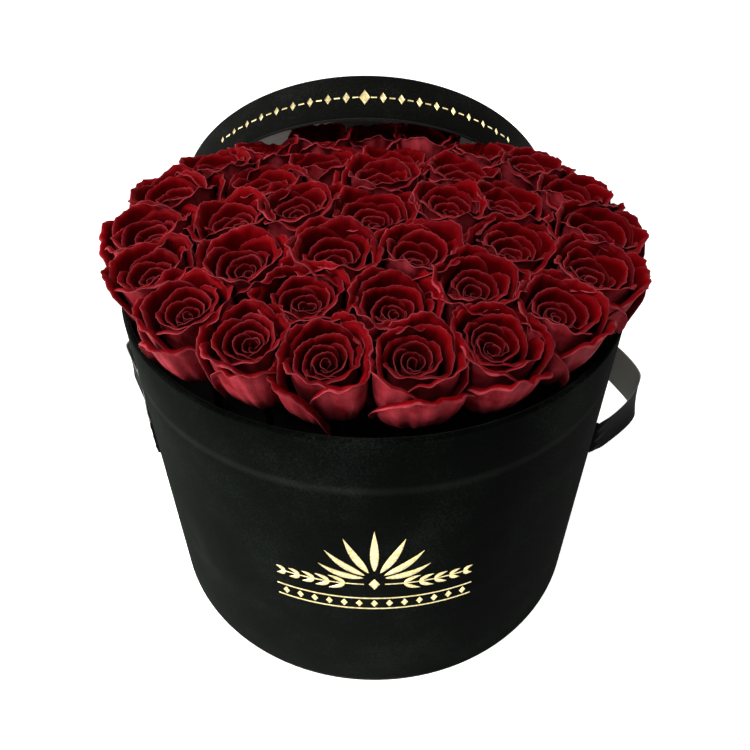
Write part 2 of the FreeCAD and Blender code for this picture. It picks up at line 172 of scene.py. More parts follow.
def rose_petals(name):
    """Preserved rose petals: matt, softly veined and deep red inside, darkening to near black towards each
    petal's base and in the bud as painted shade, dustier and pinker on the back, with a thin paler line that
    comes and goes along the lip, partly its dried edge and partly a painted highlight. The stem and calyx are
    dull green. The veins run from the base to the lip, about 1.2 mm apart."""
    made, tree, shader = new_material(name)
    place = add(tree, "ShaderNodeUVMap", uv_map="petal").outputs["UV"]
    share = {key: add(tree, "ShaderNodeAttribute", attribute_name=key).outputs["Fac"]
             for key in ("lip", "back", "tone", "deep", "green")}
    drawn_out = add(tree, "ShaderNodeMapping", {"Vector": place}, {"Scale": (1.0, 0.12, 1.0)}).outputs[0]
    veins = add(tree, "ShaderNodeTexNoise", {"Vector": drawn_out},
                {"Scale": 1 / (1.2 * MM), "Detail": 3.0, "Roughness": 0.6}).outputs["Fac"]
    patches = add(tree, "ShaderNodeTexNoise", {"Vector": place},
                  {"Scale": 1 / (9 * MM), "Detail": 3.0, "Roughness": 0.6}).outputs["Fac"]
    # Painted shade: the inside darkens to near black towards the petal's base and in the bud, where the cup
    # lies in shade.
    inside = add(tree, "ShaderNodeValToRGB", {"Fac": share["deep"]},
                 stops=((0.25, "#0a0000"), (0.6, "#460004"), (0.95, "#780107"))).outputs["Color"]
    outside = add(tree, "ShaderNodeValToRGB", {"Fac": patches},
                  stops=((0.3, "#7a1119"), (0.7, "#bb414b"))).outputs["Color"]
    face = add(tree, "ShaderNodeMix", {0: share["back"], 6: inside, 7: outside}, data_type="RGBA").outputs[2]
    shade = add(tree, "ShaderNodeMath", {0: share["tone"], 1: patches}, operation="ADD").outputs[0]
    dull = add(tree, "ShaderNodeMapRange", {0: shade}, {1: 0.2, 2: 1.5, 3: 0.0, 4: 0.55}).outputs[0]
    # Patches where the paler lip line, partly a painted highlight, comes and goes.
    wear_and_highlight_patches = add(tree, "ShaderNodeMapRange", {0: patches}, {1: 0.38, 2: 0.66, 3: 0.25, 4: 1.0}).outputs[0]
    lips = add(tree, "ShaderNodeMath", {0: share["lip"], 1: wear_and_highlight_patches}, operation="MULTIPLY").outputs[0]
    # The paler lip line, #b14a53, is partly the dried edge and partly a painted highlight on the rolled lip.
    for amount, colour in ((dull, "#3e0105"), (lips, "#b14a53"), (share["green"], "#14180d")):
        face = add(tree, "ShaderNodeMix", {0: amount, 6: face}, {7: linear(colour)},
                   data_type="RGBA").outputs[2]
    bump = add(tree, "ShaderNodeBump", {"Height": veins}, {"Strength": 0.6, "Distance": 0.4 * MM})
    put(tree, shader, {"Roughness": 0.55, "Specular IOR Level": 0.02, "Sheen Weight": 0.02,
                       "Sheen Roughness": 0.4, "Sheen Tint": linear("#ff9aa0")},
        Base_Color=face, Normal=bump.outputs["Normal"])
    return made


def gold_foil(name):
    """Hot-stamped gold foil: bright pale gold, mirror-like but broken up by the pile it is pressed into."""
    made, tree, shader = new_material(name)
    place = add(tree, "ShaderNodeTexCoord").outputs["Object"]
    grit = add(tree, "ShaderNodeTexNoise", {"Vector": place},
               {"Scale": 1 / (1.3 * MM), "Detail": 3.0}).outputs["Fac"]
    tone = add(tree, "ShaderNodeValToRGB", {"Fac": grit},
               stops=((0.3, "#c8a55a"), (0.5, "#ead99a"), (0.7, "#f6edc4"))).outputs["Color"]
    gloss = add(tree, "ShaderNodeMapRange", {0: grit}, {3: 0.22, 4: 0.42}).outputs[0]
    bump = add(tree, "ShaderNodeBump", {"Height": grit}, {"Strength": 0.25, "Distance": 0.2 * MM})
    put(tree, shader, {"Metallic": 1.0}, Base_Color=tone, Roughness=gloss, Normal=bump.outputs["Normal"])
    return made


def fibrous(name, dark, pale, grain, roughness):
    """Paper, board and foam: matt fibres or pores of the given grain that run from dark to pale."""
    made, tree, shader = new_material(name)
    place = add(tree, "ShaderNodeTexCoord").outputs["Object"]
    fibres = add(tree, "ShaderNodeTexNoise", {"Vector": place},
                 {"Scale": 1 / grain, "Detail": 5.0, "Roughness": 0.65}).outputs["Fac"]
    tone = add(tree, "ShaderNodeValToRGB", {"Fac": fibres},
               stops=((0.32, dark), (0.68, pale))).outputs["Color"]
    bump = add(tree, "ShaderNodeBump", {"Height": fibres}, {"Strength": 0.3, "Distance": 0.3 * grain})
    put(tree, shader, {"Roughness": roughness, "Specular IOR Level": 0.3},
        Base_Color=tone, Normal=bump.outputs["Normal"])
    return made


# Meshes
def shell_faces(rows, columns):
    """Quads of a thin closed sheet made of two grids of rows by columns points, the front numbered first:
    both grids' cells, the back's turned over, and a strip round the edge that joins them."""
    grid = np.arange(rows * columns).reshape(rows, columns)
    front = np.stack([grid[:-1, :-1], grid[:-1, 1:], grid[1:, 1:], grid[1:, :-1]], -1).reshape(-1, 4)
    back = front[:, ::-1] + rows * columns
    ring = np.concatenate([grid[0, :-1], grid[:-1, -1], grid[-1, :0:-1], grid[:0:-1, 0]])
    after = np.roll(ring, -1)
    edge = np.stack([after, ring, ring + rows * columns, after + rows * columns], -1)
    return np.concatenate([front, back, edge])


def sheet_mesh(front, back):
    """Points and faces of many thin closed sheets, given as (sheets, rows, columns, 3) arrays of their two
    sides. The faces are turned over where the front's normals would point at the back."""
    sheets, rows, columns, _ = front.shape
    points = np.stack([front, back], 1).reshape(-1, 3)
    faces = shell_faces(rows, columns)
    middle = (rows // 2, columns // 2)
    side = np.cross(front[:, middle[0], middle[1] + 1] - front[:, middle[0], middle[1]],
                    front[:, middle[0] + 1, middle[1]] - front[:, middle[0], middle[1]])
    outward = front[:, middle[0], middle[1]] - back[:, middle[0], middle[1]]
    turned = np.sum(side * outward, 1) < 0
    every = np.where(turned[:, None, None], faces[None, :, ::-1], faces[None])
    every = every + (np.arange(sheets) * 2 * rows * columns)[:, None, None]
    return points, every.reshape(-1, 4)


def turned_mesh(outline, segments):
    """Points and faces of a closed outline of (radius, height) carried round Z: point (r, z) goes to
    (r cos a, r sin a, z) at every angle a, and each cell of outline step by angle step is a quad."""
    outline = np.asarray(outline)
    count = len(outline)
    area = np.sum(outline[:, 0] * np.roll(outline[:, 1], -1) - np.roll(outline[:, 0], -1) * outline[:, 1])
    if area < 0:
        outline = outline[::-1]
    turn = np.arange(segments) * 2 * np.pi / segments
    points = np.stack([outline[None, :, 0] * np.cos(turn)[:, None],
                       outline[None, :, 0] * np.sin(turn)[:, None],
                       np.broadcast_to(outline[:, 1], (segments, count))], -1)
    grid = np.arange(segments * count).reshape(segments, count)
    on = np.roll(grid, -1, 0)
    faces = np.stack([grid, on, np.roll(on, -1, 1), np.roll(grid, -1, 1)], -1)
    return points.reshape(-1, 3), faces.reshape(-1, 4)


def arc(middle, radius, start, end, count=9):
    """Points on a quarter or half round: middle plus radius times (cos, sin) from start to end degrees."""
    turn = np.radians(np.linspace(start, end, count))
    return np.stack([middle[0] + radius * np.cos(turn), middle[1] + radius * np.sin(turn)], -1)


def add_piece(name, points, faces, material, body, uv=None, floats=None):
    """A smooth-shaded mesh object at the origin that rides on a body if one is named, with an optional UV
    map, given as (map name, one pair per point), and float attributes, one number per point."""
    mesh = bpy.data.meshes.new(name)
    mesh.from_pydata(points, [], faces.tolist())
    mesh.polygons.foreach_set("use_smooth", np.ones(len(mesh.polygons), dtype=bool))
    corner = np.empty(len(mesh.loops), dtype=np.int32)
    mesh.loops.foreach_get("vertex_index", corner)
    if uv is not None:
        layer = mesh.uv_layers.new(name=uv[0])
        layer.data.foreach_set("uv", np.asarray(uv[1], dtype=np.float32)[corner].ravel())
    for key, values in (floats or {}).items():
        made = mesh.attributes.new(key, "FLOAT", "POINT")
        made.data.foreach_set("value", np.asarray(values, dtype=np.float32).ravel())
    mesh.materials.append(material)
    mesh.update()
    piece = bpy.data.objects.new(name, mesh)
    bpy.context.scene.collection.objects.link(piece)
    if body:
        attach(piece, body)
    return piece


# Lid frame
LID_AXIS = np.array([0.0, np.cos(LID_LEAN), np.sin(LID_LEAN)])
LID_UP = np.array([0.0, -np.sin(LID_LEAN), np.cos(LID_LEAN)])
HALF_HEAD = 9.5 * MM
LID_CLEAR = 1.2 * MM
LID_INNER = LID_RADIUS - SKIN - LID_BOARD
LID_FACE = LID_DEPTH - SKIN - LID_BOARD - LID_PAPER


def lid_middle():
    """Middle of the lid's open edge: it stands on that edge, and its lining meets the box's rear top edge."""
    high = LID_RADIUS * np.cos(LID_LEAN)
    face_high = high + LID_FACE * np.sin(LID_LEAN)
    back = BOX_RADIUS + (BOX_HEIGHT - face_high) * np.tan(LID_LEAN) + LID_REST_GAP / np.cos(LID_LEAN)
    return np.array([LID_SHIFT, back - LID_FACE * np.cos(LID_LEAN), high])


LID_MIDDLE = lid_middle()


def on_lid(points):
    """Carries points from the lid's own frame, open edge at Z = 0, to where it leans."""
    return (LID_MIDDLE + points[:, :1] * np.array([1.0, 0.0, 0.0])
            - points[:, 1:2] * LID_UP + points[:, 2:] * LID_AXIS)


def from_lid(points):
    """How far points are past the lid's open edge along its axis, and how far from that axis."""
    past = (points - LID_MIDDLE) @ LID_AXIS
    return past, np.linalg.norm(points - LID_MIDDLE - past[:, None] * LID_AXIS, axis=1)


def clear_of_lid(points, rose):
    """Presses a head's points off the lid: past the lid's open edge they keep inside its band and short of
    its lining, or, for a head outside the band, short of the edge."""
    past, far = from_lid(points)
    flat = points - LID_MIDDLE - past[:, None] * LID_AXIS
    if from_lid(rose.mouth[None])[1][0] < LID_INNER - HALF_HEAD:
        hit = (past > -LID_CLEAR) & (far > LID_INNER - LID_CLEAR)
        points = points - np.where(hit, (far - LID_INNER + LID_CLEAR) / far, 0)[:, None] * flat
        over = np.maximum(past - (LID_FACE - LID_CLEAR), 0)
    else:
        hit = (past > -LID_CLEAR) & (far < LID_RADIUS + LID_CLEAR)
        over = np.where(hit, past + LID_CLEAR, 0)
    return points - over[:, None] * LID_AXIS


# Roses: the same places as the CAD heads. Rings by share of the box's radius, rise of the mouth over the
# rim in mm, and lean in degrees
HEAD_DEPTH = 40.0 * MM
STEM_BITE = 26.0 * MM
STEM_RADIUS = 2.5 * MM
GOLDEN_TURN = np.radians(137.5)
CROWN_SHIFT = 9.0 * MM
CENTRE_RISE = 42
INNER_TURNS = (12, 84, 168, 244, 300)
INNER_SHARE = 0.31
INNER_RISE = 41
INNER_LEAN = 4
MIDDLE_COUNT = 11
MIDDLE_FIRST = 277
MIDDLE_SHARE = 0.545
MIDDLE_RISE = 37
MIDDLE_LEAN = 9
OUTER_COUNT = 19
OUTER_FIRST = 279
OUTER_SHARE = 0.85
OUTER_SHARE_SWING = 0.02
OUTER_SHARE_DIP = 0.095
OUTER_LEAN = 10
OUTER_LEAN_SWING = 3
FRONT_RISE = 31
LID_HEADROOM = 15.9 * MM


class Rose:
    """One head: its name, the middle of its mouth, and its three axes."""

    def __init__(self, name, share, azimuth, rise, lean, shift=0.0):
        turn = np.radians(azimuth)
        tip = np.radians(lean)
        out = np.array([np.cos(turn), np.sin(turn), 0.0])
        up = np.array([0.0, 0.0, 1.0])
        self.name = name
        self.out = out
        self.mouth = out * share * BOX_RADIUS + np.array([0.0, -shift, BOX_HEIGHT + rise * MM])
        self.axis = out * np.sin(tip) + up * np.cos(tip)
        self.across = out * np.cos(tip) - up * np.sin(tip)
        self.along = np.array([-np.sin(turn), np.cos(turn), 0.0])
        self.calyx = self.mouth - self.axis * HEAD_DEPTH


def rose_places():
    """A head in the middle and rings of 5 and 11, a little forward of the axis, and an outer ring of 19 that
    leans more in front, stands wider at the sides, and draws in and rises to meet the lid."""
    roses = [Rose("rose_centre", 0, 0, CENTRE_RISE, 0, CROWN_SHIFT)]
    for i, azimuth in enumerate(INNER_TURNS, start=1):
        roses.append(Rose(f"rose_inner_{i}", INNER_SHARE, azimuth, INNER_RISE, INNER_LEAN, CROWN_SHIFT))
    for i in range(MIDDLE_COUNT):
        azimuth = MIDDLE_FIRST + 360 * i / MIDDLE_COUNT
        name = f"rose_middle_{i + 1}"
        roses.append(Rose(name, MIDDLE_SHARE, azimuth, MIDDLE_RISE, MIDDLE_LEAN, CROWN_SHIFT))
    rear_rise = (2 * LID_RADIUS * np.cos(LID_LEAN) - BOX_HEIGHT - LID_HEADROOM) / MM
    for i in range(OUTER_COUNT):
        azimuth = OUTER_FIRST + 360 * i / OUTER_COUNT
        turn = np.radians(azimuth)
        back = np.sin(turn)
        share = OUTER_SHARE + OUTER_SHARE_SWING * np.cos(2 * turn) - OUTER_SHARE_DIP * max(0.0, back)
        rise = (rear_rise + FRONT_RISE) / 2 + (rear_rise - FRONT_RISE) / 2 * back
        roses.append(Rose(f"rose_outer_{i + 1}", share, azimuth, rise, OUTER_LEAN - OUTER_LEAN_SWING * back))
    return roses


# Room for a head: its own limit, how closely heads press on each other, and the reach over the rim
HEAD_LIMIT = 28.0 * MM
CROWDING = 1.15
RIM_REACH = 6.0 * MM
RIM_REACH_SWING = 8.0 * MM
LEAST_ROOM = 4.0 * MM
SHARPNESS = 6.0
DIRECTIONS = np.linspace(0, 2 * np.pi, 145)


def room_round(rose, roses):
    """How far a head may open in each direction: a soft least of its own limit, half the way to each
    neighbour measured along that direction, the reach over the box's rim, and the way to the lid's open edge
    for a head before it, as (sum of 1 / distance^6)^(-1/6)."""
    toward = np.stack([np.cos(DIRECTIONS), np.sin(DIRECTIONS)], -1)

    def facing(way):
        return np.maximum(toward @ np.array([way @ rose.across, way @ rose.along]), 1e-6)

    total = np.full(len(DIRECTIONS), HEAD_LIMIT ** -SHARPNESS)
    for other in roses:
        if other is rose:
            continue
        away = other.mouth - rose.mouth
        apart = (away @ rose.across) ** 2 + (away @ rose.along) ** 2
        total += (CROWDING * apart / 2 / facing(away)) ** -SHARPNESS
    to_rim = BOX_RADIUS + RIM_REACH + RIM_REACH_SWING * (2 * rose.out[0] ** 2 - 1) - rose.mouth @ rose.out
    total += (np.maximum(to_rim, LEAST_ROOM) / facing(rose.out)) ** -SHARPNESS
    past, far = from_lid(rose.mouth[None])
    if LID_INNER - HALF_HEAD <= far[0] < LID_RADIUS + HEAD_LIMIT and past[0] < 0:
        to_edge = -past[0] - LIP_BAND[-1] * MM
        total += (np.maximum(to_edge, LEAST_ROOM) / facing(LID_AXIS)) ** -SHARPNESS
    return total ** (-1 / SHARPNESS)


# Petals of one head, and the points of each one's grid
PETALS = 18
ROWS = 17
COLUMNS = 35
PETAL_THICK = 0.5 * MM
PETAL_LENGTH = 42 * MM
CORNER_TURN = np.radians(36)
LIP_LINE = 0.32 * MM
# by share of the way from the bud to the outermost petal: half width in degrees, lip radius as a share of
# the room, lip height over the mouth in mm, width in mm and turn in degrees of the rolled lip, how far the
# lip falls at the petal's sides, how far one side winds outside the other, and how far the lip is drawn to
# a corner
SHARE = (0.0, 0.2, 0.4, 0.6, 0.8, 1.0)
HALF_WIDTH = (150, 118, 98, 84, 74, 64)
LIP_RADIUS = (0.08, 0.24, 0.44, 0.68, 0.89, 1.03)
LIP_HEIGHT = (-12.5, -10.5, -7.0, -1.5, 1.5, -3.0)
LIP_BAND = (1.0, 1.6, 2.4, 3.4, 4.4, 5.2)
LIP_TURN = (50, 70, 90, 105, 115, 120)
SIDE_FALL = (0.03, 0.06, 0.12, 0.24, 0.36, 0.46)
WINDING = (0.30, 0.26, 0.18, 0.08, 0.03, 0.02)
CORNER = (0.0, 0.0, 0.1, 0.25, 0.4, 0.5)
# how far chance moves things: a petal's turn, width, lip radius, lip height in mm, roll and winding, a
# whole head's opening and height in mm, and the bud and each petal aside in mm
TURN_SPREAD = 0.16
WIDTH_SPREAD = 0.10
RADIUS_SPREAD = 0.05
HEIGHT_SPREAD = 1.2
ROLL_SPREAD = 0.3
BLOOM_SPREAD = 0.07
LIFT_SPREAD = 1.5
BUD_ASIDE = 1.6
PETAL_ASIDE = 0.7

PETAL_NUMBER = np.arange(PETALS)
PETAL_SHARE = PETAL_NUMBER / (PETALS - 1)
ACROSS = np.linspace(-1, 1, COLUMNS)[None, None, :]
UP = (1 - (1 - np.linspace(0, 1, ROWS)) ** 1.9)[None, :, None]


def smooth(value):
    """Smooth step: 3x^2 - 2x^3 between 0 and 1."""
    value = np.clip(value, 0, 1)
    return value * value * (3 - 2 * value)


def each(values):
    """One number for each petal, shaped to spread over arrays of petals by rows by columns."""
    return np.asarray(values)[:, None, None]


def from_table(values):
    """A table by share, read at each petal."""
    return each(np.interp(PETAL_SHARE, SHARE, values))


def cubic(rise, first, second, third, last):
    """Cubic Bezier: (1-t)^3 a + 3 (1-t)^2 t b + 3 (1-t) t^2 c + t^3 d."""
    left = 1 - rise
    return left ** 3 * first + 3 * left ** 2 * rise * second + 3 * left * rise ** 2 * third + rise ** 3 * last


def roll_lip(radius, height, to_lip, turn_back):
    """Rolls the lip outwards and down about an arc: over a band b, a share r of the way into it is turned by
    the angle a, and moves out by b r (1 - cos a) / a and down by b r (1 - sin a / a). The petal's middle
    point stays nearly straight."""
    band = from_table(LIP_BAND) * MM
    rolled = np.clip(1 - to_lip / band, 0, 1)
    angle = turn_back * rolled * (1 - 0.55 * np.exp(-(ACROSS / 0.16) ** 2)) + 1e-6
    return (radius + band * rolled * (1 - np.cos(angle)) / angle,
            height - band * rolled * (1 - np.sin(angle) / angle))


def dry_out(radius, height, rise, phase):
    """Wrinkles of a dried petal, more on the outer ones: a slow wave and a quick crinkle near the lip, and
    shallow folds that run up the whole petal, each a sum of sines across it that starts at the petal's own
    phase."""
    part = each(PETAL_SHARE)
    near = smooth((rise - 0.74) / 0.26)
    wave = np.sin(2.3 * np.pi * ACROSS + phase)
    crinkle = np.sin(5.3 * np.pi * ACROSS + 2 * phase) + 0.6 * np.sin(11 * np.pi * ACROSS + 3 * phase)
    folds = (np.sin(6.1 * np.pi * ACROSS + phase + 2.2 * UP)
             + 0.7 * np.sin(3.7 * np.pi * ACROSS - 2 * phase - 5.5 * UP))
    radius = radius + (0.05 + 0.65 * part ** 2) * MM * near * crinkle
    radius = radius + (0.04 + 0.34 * part ** 2) * MM * smooth(2.5 * rise) * folds
    height = height + (0.2 + 1.0 * part) * MM * near * wave
    height = height + (0.08 + 0.45 * part) * MM * near * np.roll(crinkle, 3, -1)
    return radius, height


def petal_sheets(rose, roses, spin, draw):
    """All petals of a head: their inner and outer faces, attributes and flat UVs. Petal k stands at spin plus
    k golden turns. Across it u runs from -1 to 1 and up it v from 0 to 1. Radius and height follow a cubic
    Bezier from the calyx, out to the belly and up to the lip. One side winds outside the other; the lip falls
    at the sides, is drawn towards a corner of a pentagon at the petal's middle, and rolls back beside it."""
    jitter = draw.uniform(-1, 1, (8, PETALS))
    bloom = 1 + BLOOM_SPREAD * draw.uniform(-1, 1)
    lift = LIFT_SPREAD * draw.uniform(-1, 1)
    bud_aside = draw.uniform(-BUD_ASIDE, BUD_ASIDE, 2) * MM
    petal_aside = draw.uniform(-PETAL_ASIDE, PETAL_ASIDE, (2, PETALS)) * MM
    part = each(PETAL_SHARE)
    turn = each(spin + PETAL_NUMBER * GOLDEN_TURN + TURN_SPREAD * jitter[0])
    half = np.radians(from_table(HALF_WIDTH)) * each(1 + WIDTH_SPREAD * jitter[1])
    lip = from_table(LIP_RADIUS) * each(bloom * (1 + RADIUS_SPREAD * jitter[2] * (PETAL_SHARE < 0.95)))
    high = (from_table(LIP_HEIGHT) + each(lift + HEIGHT_SPREAD * jitter[3])) * MM
    turn_back = np.radians(from_table(LIP_TURN)) * each(1 + ROLL_SPREAD * jitter[4])
    winding = from_table(WINDING) * each(1 + ROLL_SPREAD * jitter[5])

    theta = turn + ACROSS * half * (0.45 + 0.55 * np.sqrt(UP))
    still = 0 * theta
    room = room_round(rose, roses)
    reach = np.interp(np.mod(theta, 2 * np.pi), DIRECTIONS, room)
    aside = np.minimum(np.abs(theta - turn), CORNER_TURN)
    corner = from_table(CORNER) * (1 - np.cos(CORNER_TURN) / np.cos(CORNER_TURN - aside))
    wide = lip * (reach * part + room.mean() * (1 - part)) * (1 - corner * UP)
    rise = UP * (1 - from_table(SIDE_FALL) * np.abs(ACROSS) ** 2.4 - 0.22 * np.abs(ACROSS) ** 9)
    belly = (0.92 + 0.10 * part) * wide
    radius = cubic(rise, (3.0 + 1.5 * part) * MM, belly, (1.04 - 0.03 * part) * wide, wide)
    height = cubic(rise, (-36 - 9 * part) * MM, (-30 - 13 * part) * MM, high - (13 - 4 * part) * MM, high)
    to_lip = (1 - UP) * PETAL_LENGTH + still
    radius, height = roll_lip(radius, height, to_lip, turn_back)
    radius, height = dry_out(radius, height, rise, each(np.pi * jitter[6]))
    radius = radius * (1 + winding * ACROSS)

    moved = [(bud_aside[k] * (1 - part) + each(petal_aside[k])) * UP for k in (0, 1)]
    local = np.stack([radius * np.cos(theta) + moved[0], radius * np.sin(theta) + moved[1], height], -1)
    normal = np.cross(np.gradient(local, axis=1), np.gradient(local, axis=2))
    normal /= np.linalg.norm(normal, axis=-1, keepdims=True) + 1e-12
    outward = np.stack([np.cos(theta), np.sin(theta), still - 0.3], -1)
    normal *= np.where(np.sum(normal * outward, -1, keepdims=True) < 0, -1, 1)
    edge = np.minimum(2.5 * (1 - np.abs(ACROSS)) * wide * half, to_lip)
    thick = PETAL_THICK / 2 * (0.45 + 0.55 * smooth(edge / (4 * MM)))[..., None]
    axes = np.stack([rose.across, rose.along, rose.axis])
    faces = [rose.mouth + (local + way * normal * thick) @ axes for way in (-1, 1)]

    floats = {
        # The lip mask carries the paler lip line, partly the dried edge and partly a painted highlight.
        "lip": np.exp(-edge / LIP_LINE) * (0.7 + 0.3 * part),
        # deep drives the painted shade that darkens each petal's inside towards its base and in the bud.
        "deep": rise * (0.72 + 0.28 * np.minimum(1, 1.7 * part)) + still,
        "tone": each(0.5 + 0.5 * jitter[7]) + still,
        "green": still,
    }
    floats = {key: np.stack([value, value], 1).ravel() for key, value in floats.items()}
    floats["back"] = np.stack([still, 0.35 + 0.65 * part + still], 1).ravel()
    flat = np.stack([ACROSS * wide * half + each(0.06 * PETAL_NUMBER),
                     rise * 45 * MM + each(0.013 * PETAL_NUMBER) + still], -1)
    return faces, floats, np.stack([flat, flat], 1).reshape(-1, 2)


STEM_SIDES = 10
# radius of the stem's rings as a multiple of its own, from the closed foot to the closed top of the calyx
STEM_SWELL = (0.02, 1.0, 1.0, 1.5, 2.3, 2.0, 0.02)


def stem_mesh(rose):
    """A cut stem and calyx: rings of ten points from the foam up to the underside of the petals, first
    upright, then along the head's axis."""
    foot = np.array([rose.calyx[0], rose.calyx[1], FOAM_TOP - STEM_BITE])
    neck = rose.calyx - np.array([0, 0, 5 * MM])
    top = rose.calyx + 6 * MM * rose.axis
    middles = np.array([foot, foot, neck, rose.calyx - 1.5 * MM * rose.axis,
                        rose.calyx + 2.5 * MM * rose.axis, top, top])
    wide = np.array(STEM_SWELL) * STEM_RADIUS
    turn = np.arange(STEM_SIDES) * 2 * np.pi / STEM_SIDES
    ring = np.cos(turn)[:, None] * rose.across + np.sin(turn)[:, None] * rose.along
    points = middles[:, None] + wide[:, None, None] * ring[None]
    grid = np.arange(len(middles) * STEM_SIDES).reshape(-1, STEM_SIDES)
    on = np.roll(grid, -1, 1)
    faces = np.stack([grid[:-1], on[:-1], on[1:], grid[1:]], -1).reshape(-1, 4)
    return points.reshape(-1, 3), faces


def add_rose(rose, roses, index, material):
    """One rose as one piece, its petals and stem together, in place of its CAD node."""
    draw = np.random.default_rng(4100 + index)
    sides, floats, uv = petal_sheets(rose, roses, index * GOLDEN_TURN, draw)
    points, faces = sheet_mesh(*sides)
    points = clear_of_lid(points, rose)
    stem, stem_faces = stem_mesh(rose)
    faces = np.concatenate([faces, stem_faces + len(points)])
    for key in floats:
        floats[key] = np.concatenate([floats[key], np.full(len(stem), 1.0 if key == "green" else 0.0)])
    uv = np.concatenate([uv, stem[:, [0, 2]]])
    piece = add_piece("petals_" + rose.name, np.concatenate([points, stem]), faces, material, "box",
                      ("petal", uv), floats)
    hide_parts(rose.name)


# Velvet skins of the box and lid: steps round, and thickness outside and where the cloth is turned in
TURNS = 256
CLOTH = 0.45 * MM
TURN_IN = 0.25 * MM


def add_box_skin(material):
    """The velvet over the tube: foot with a 1.5 mm round, wall, a half-round rim, and a turn-in inside."""
    inner = BOX_RADIUS - SKIN - BOARD - 0.6 * MM
    rim = (BOX_RADIUS - inner) / 2
    foot = 1.5 * MM
    low = 0.55 * MM
    hem = BOX_HEIGHT - 30 * MM
    outline = np.concatenate([
        arc((BOX_RADIUS - foot, low + foot), foot, -90, 0),
        [(BOX_RADIUS, BOX_HEIGHT * s) for s in (0.1, 0.25, 0.5, 0.75, 0.9)],
        arc((BOX_RADIUS - rim, BOX_HEIGHT - rim), rim, 0, 180, 17),
        [(inner, hem), (inner + TURN_IN, hem), (inner + TURN_IN, BOX_HEIGHT - 1.5 * rim),
         (BOX_RADIUS - CLOTH, BOX_HEIGHT - 1.5 * rim), (BOX_RADIUS - CLOTH, low + foot)],
    ])
    points, faces = turned_mesh(outline, TURNS)
    piece = add_piece("velvet_box", points, faces, material, "box")
    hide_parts("box_wrap")


def add_lid_skin(material):
    """The velvet over the lid: top with a 1.6 mm round, band, and its open edge turned in 12 mm. The top
    closes on a hole too small to see, with rings close round it that keep its shading flat."""
    inner = LID_INNER - 0.3 * MM
    edge = (LID_RADIUS - inner) / 2
    bend = 1.6 * MM
    hole = 0.05 * MM
    hem = 12 * MM
    outline = np.concatenate([
        [(inner, hem)],
        arc((LID_RADIUS - edge, edge), edge, 180, 360, 13),
        [(LID_RADIUS, LID_DEPTH * s) for s in (0.3, 0.6)],
        arc((LID_RADIUS - bend, LID_DEPTH - bend), bend, 0, 90),
        [(LID_RADIUS * s, LID_DEPTH) for s in (0.8, 0.5, 0.2, 0.05, 0.01, 0.002)],
        [(hole, LID_DEPTH), (hole, LID_DEPTH - CLOTH), (LID_RADIUS * 0.8, LID_DEPTH - CLOTH)],
        [(LID_RADIUS - CLOTH, LID_DEPTH - bend), (LID_RADIUS - CLOTH, 1.6 * edge)],
        [(inner + TURN_IN, 1.6 * edge), (inner + TURN_IN, hem)],
    ])
    points, faces = turned_mesh(outline, TURNS)
    piece = add_piece("velvet_lid", on_lid(points), faces, material, "lid")
    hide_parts("lid_wrap")


# Ribbon loops
RIBBON_WIDTH = 25 * MM
RIBBON_THICK = 0.5 * MM
RIBBON_HIGH = BOX_HEIGHT - 84 * MM
RIBBON_STEPS = 121
RIBBON_STRANDS = 25
# how far each loop stands off the wall, how far behind the middle the left one folds, and how far the right
# one's edges twist
LEFT_STAND = 23 * MM
LEFT_BACK = 18 * MM
RIGHT_STAND = 25 * MM
RIGHT_TWIST = 5 * MM
# slits: distance from the mid-plane, the ribbon's root, where its swing starts, and its run inside the wall
SLIT_ACROSS = BOX_RADIUS * np.sin(np.radians(24))
SLIT_ROOT = 129.95 * MM
STUB = 9 * MM
# shape of the satin: gathered length and width at the slits, curl there and along the loop, and sag
GATHER = 10 * MM
NECK = 0.94
END_CURL = 0.35 * MM
LOOP_CURL = 0.9 * MM
SAG = 1.2 * MM
# routes in plan: the left one's rounding and how closely it hugs the wall, and the right one's bow
ROUTE_POINTS = 241
FOLD_ROUND = 9.0
FOLD_SPAN = 30
FRONT_HUG = 3.2 * MM
FLUSH = 0.8 * MM
BOW_POWER = 1.45
BOW_ROUND = 0.06
BOW_CREST = -0.28


def bowed_route(stand):
    """Plan of the right loop: a bow from slit to slit that stands off by 1 - |s|^1.45 of its full reach,
    where s runs from -1 to 0 at the crest and on to 1. The crest is forward of the middle and a little
    creased."""
    share = np.linspace(-1, 1, ROUTE_POINTS)
    from_crest = (share - BOW_CREST) / np.where(share < BOW_CREST, 1 + BOW_CREST, 1 - BOW_CREST)
    crease = np.sqrt(from_crest ** 2 + BOW_ROUND ** 2) ** BOW_POWER
    crease = (crease - BOW_ROUND ** BOW_POWER) / (crease.max() - BOW_ROUND ** BOW_POWER)
    rise = (BOX_RADIUS + stand - SLIT_ROOT) * (1 - crease)
    return np.stack([SLIT_ROOT + rise, SLIT_ACROSS * share], -1)


